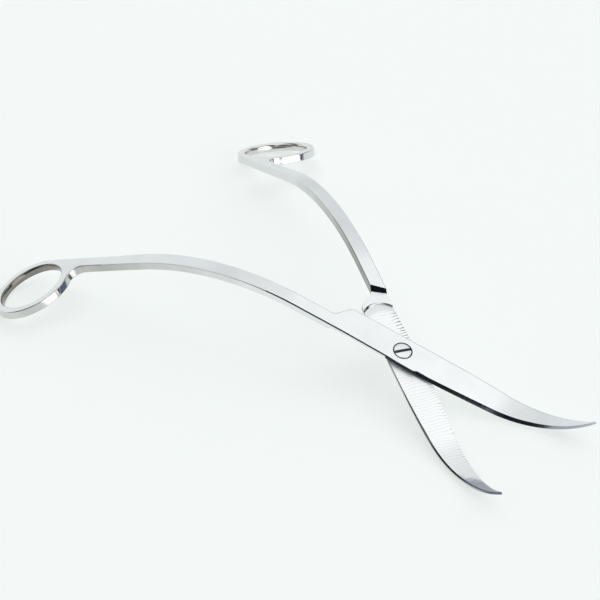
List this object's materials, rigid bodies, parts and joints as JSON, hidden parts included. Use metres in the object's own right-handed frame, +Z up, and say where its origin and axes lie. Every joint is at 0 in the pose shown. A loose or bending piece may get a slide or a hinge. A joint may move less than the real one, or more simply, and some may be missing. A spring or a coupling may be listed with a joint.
{
  "type": "wick trimmer",
  "caption": "Long wick-trimming scissors, bent on the flat, with finger rings, a slotted pivot screw and upturned blades.",
  "frame": {"origin": "on the table, under the middle of the bounding box of the scissors as they lie open", "axes": "+X from the finger rings towards the blade tips, +Y to the lower lever's finger ring, +Z up"},
  "size_m": [0.2085, 0.1486, 0.0333],
  "materials": {
    "satin_steel": "bare stainless steel, satin ground on the flats, bright polished on the edges and ring walls",
    "polished_steel": "bright turned and polished steel"
  },
  "bodies": {
    "lower": {"lower_lever": "satin_steel", "pivot_screw": "polished_steel"},
    "upper": {"upper_lever": "satin_steel"}
  },
  "joints": [
    {"name": "pivot", "type": "hinge", "parent": "lower", "child": "upper", "pos_m": [0.0372, 0, 0.01498], "axis": [0.3371, 0, 0.9415], "range_deg": [-39, 109]}
  ]
}
